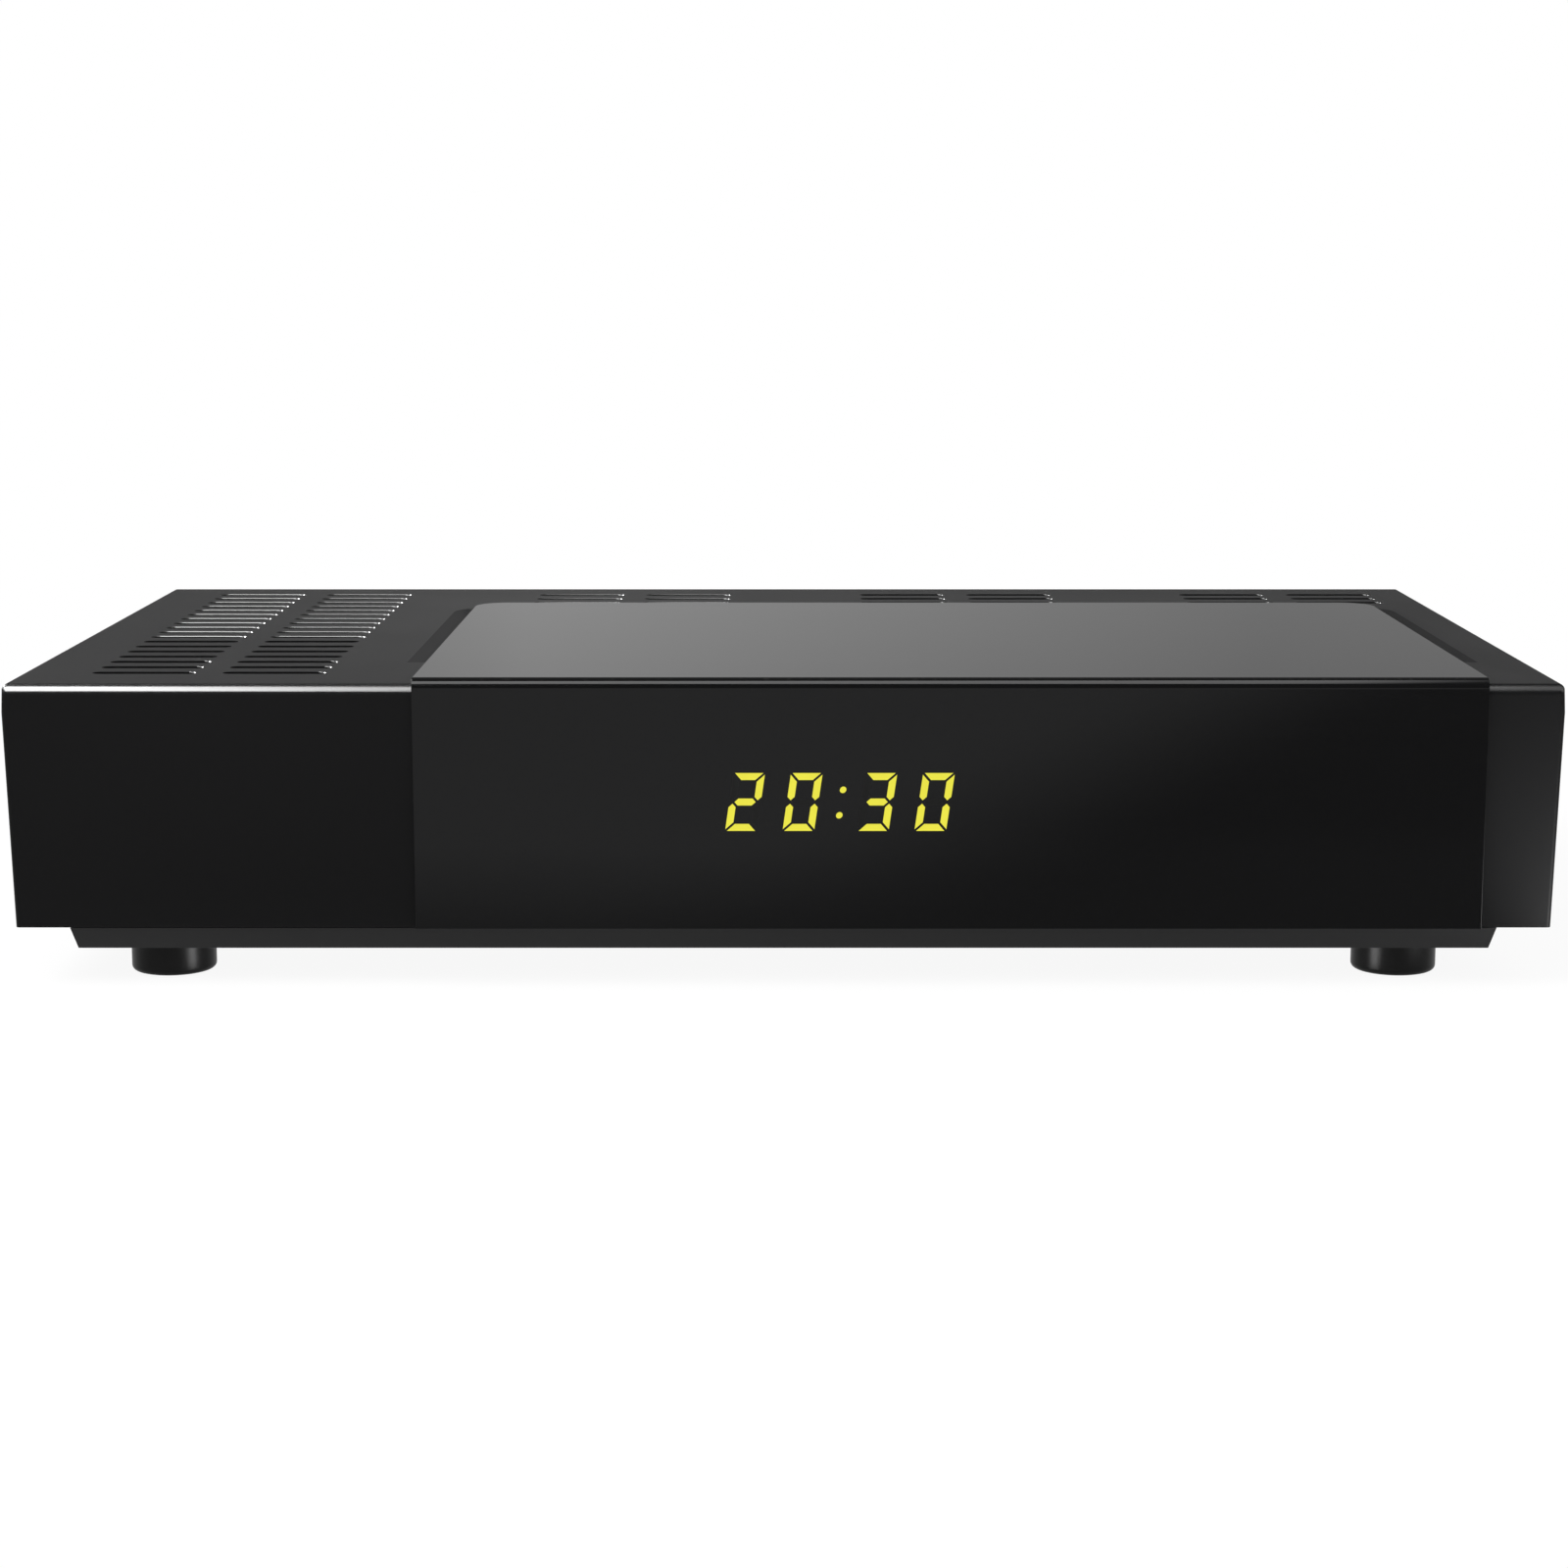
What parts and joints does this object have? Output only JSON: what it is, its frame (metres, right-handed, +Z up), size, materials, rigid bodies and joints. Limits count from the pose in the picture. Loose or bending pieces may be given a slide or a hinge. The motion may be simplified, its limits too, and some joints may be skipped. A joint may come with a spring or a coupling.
{
  "type": "satellite tv receiver",
  "caption": "Compact black satellite TV receiver: moulded case with vented top, smoked fascia wrapping front and top, amber clock display and a row of rear sockets.",
  "frame": {"origin": "under the middle of the bounding box, on the plane that the feet stand on", "axes": "+X to the right of someone facing the display, along the width; +Y from the display to the rear sockets; +Z up"},
  "size_m": [0.22, 0.138, 0.0443],
  "materials": {
    "case_plastic": "black ABS, fine satin mould grain",
    "smoked_acrylic": "smoked acrylic, polished",
    "foot_rubber": "black rubber, dull",
    "panel_paint": "black powder coat on sheet steel",
    "screw_zinc": "bright zinc plate",
    "board_laminate": "green solder mask on glass epoxy",
    "chip_epoxy": "moulded black epoxy",
    "coil_ferrite": "sintered ferrite, dull",
    "sink_aluminium": "extruded, plain",
    "capacitor_sleeve": "shrunk blue sleeve",
    "tinplate": "bright tinplate",
    "socket_nickel": "nickel plate",
    "socket_steel": "nickel-plated steel, stamped",
    "socket_nylon": "black nylon",
    "switch_nylon": "black nylon, polished",
    "tongue_white": "white nylon",
    "insert_ptfe": "white fluoropolymer",
    "insert_orange": "orange moulded plastic",
    "insert_white": "white moulded plastic",
    "insert_red": "red moulded plastic",
    "display_module": "dark grey moulding with amber-yellow lit segments",
    "sensor_epoxy": "dark infrared-clear epoxy",
    "lamp_epoxy": "diffused red epoxy",
    "ribbon_pvc": "grey vinyl ribbon",
    "lead_red": "red vinyl insulation",
    "lead_black": "black vinyl insulation"
  },
  "bodies": {
    "case": {"aerial_insert_in": "insert_ptfe", "aerial_insert_out": "insert_ptfe", "aerial_nut_in": "socket_nickel", "aerial_nut_out": "socket_nickel", "aerial_socket_in": "socket_nickel", "aerial_socket_out": "socket_nickel", "board_screw_1": "screw_zinc", "board_screw_2": "screw_zinc", "board_screw_3": "screw_zinc", "board_screw_4": "screw_zinc", "capacitor_1": "capacitor_sleeve", "capacitor_2": "capacitor_sleeve", "capacitor_3": "capacitor_sleeve", "case_screw_1": "screw_zinc", "case_screw_2": "screw_zinc", "case_screw_3": "screw_zinc", "case_screw_4": "screw_zinc", "dc_jack": "socket_nylon", "dc_pin": "socket_nickel", "fascia_panel": "smoked_acrylic", "flash_chip": "chip_epoxy", "foot_front_left": "foot_rubber", "foot_front_right": "foot_rubber", "foot_rear_left": "foot_rubber", "foot_rear_right": "foot_rubber", "front_board": "board_laminate", "hdmi_shell": "socket_steel", "hdmi_tongue": "socket_nylon", "heat_sink": "sink_aluminium", "led_display": "display_module", "lower_housing": "case_plastic", "main_board": "board_laminate", "memory_chip": "chip_epoxy", "panel_screw_left": "screw_zinc", "panel_screw_right": "screw_zinc", "phono_block": "socket_nylon", "phono_insert_digital": "insert_orange", "phono_insert_left": "insert_white", "phono_insert_right": "insert_red", "phono_ring_digital": "socket_nickel", "phono_ring_left": "socket_nickel", "phono_ring_right": "socket_nickel", "power_coil": "coil_ferrite", "processor_chip": "chip_epoxy", "rear_panel": "panel_paint", "remote_sensor": "sensor_epoxy", "ribbon_cable": "ribbon_pvc", "scart_contacts": "socket_nylon", "scart_socket": "socket_nylon", "sensor_jack": "socket_nylon", "standby_lamp": "lamp_epoxy", "switch_body": "switch_nylon", "switch_lead_a": "lead_red", "switch_lead_b": "lead_black", "tuner_can": "tinplate", "tuner_lid": "tinplate", "upper_housing": "case_plastic", "usb_shell": "socket_steel", "usb_tongue": "tongue_white"},
    "rocker": {"power_rocker": "switch_nylon"}
  },
  "joints": [
    {"name": "power_rocker_tilt", "type": "hinge", "parent": "case", "child": "rocker", "pos_m": [-0.0992, 0.0586, 0.0259], "axis": [1, 0, 0], "range_deg": [0, 20]}
  ]
}
